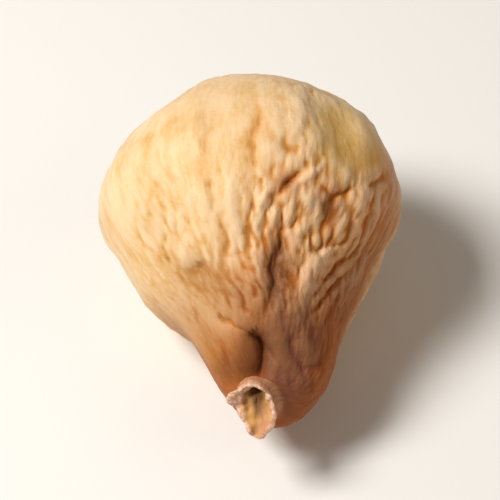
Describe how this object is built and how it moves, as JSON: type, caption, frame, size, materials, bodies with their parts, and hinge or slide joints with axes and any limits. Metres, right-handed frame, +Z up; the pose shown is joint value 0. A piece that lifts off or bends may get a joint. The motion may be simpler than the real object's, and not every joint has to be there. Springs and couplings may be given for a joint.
{
  "type": "dried fig",
  "caption": "One whole dried fig lying on its side: a wrinkled pear-shaped body, a shrunken neck with a deep cleft, a short stalk cut on a slant, and the eye at the far end.",
  "frame": {"origin": "centre of the bounding box in plan, at the surface that the fig lies on", "axes": "+Z up, +Y along the fig from the stalk towards the eye, +X to the right as seen from the stalk's end"},
  "size_m": [0.0372, 0.0476, 0.0319],
  "materials": {
    "fig_skin": "dry wrinkled fruit skin, cream on the ridges, honey brown in the valleys, half matt"
  },
  "bodies": {
    "root": {"dried_fig": "fig_skin"}
  },
  "joints": []
}
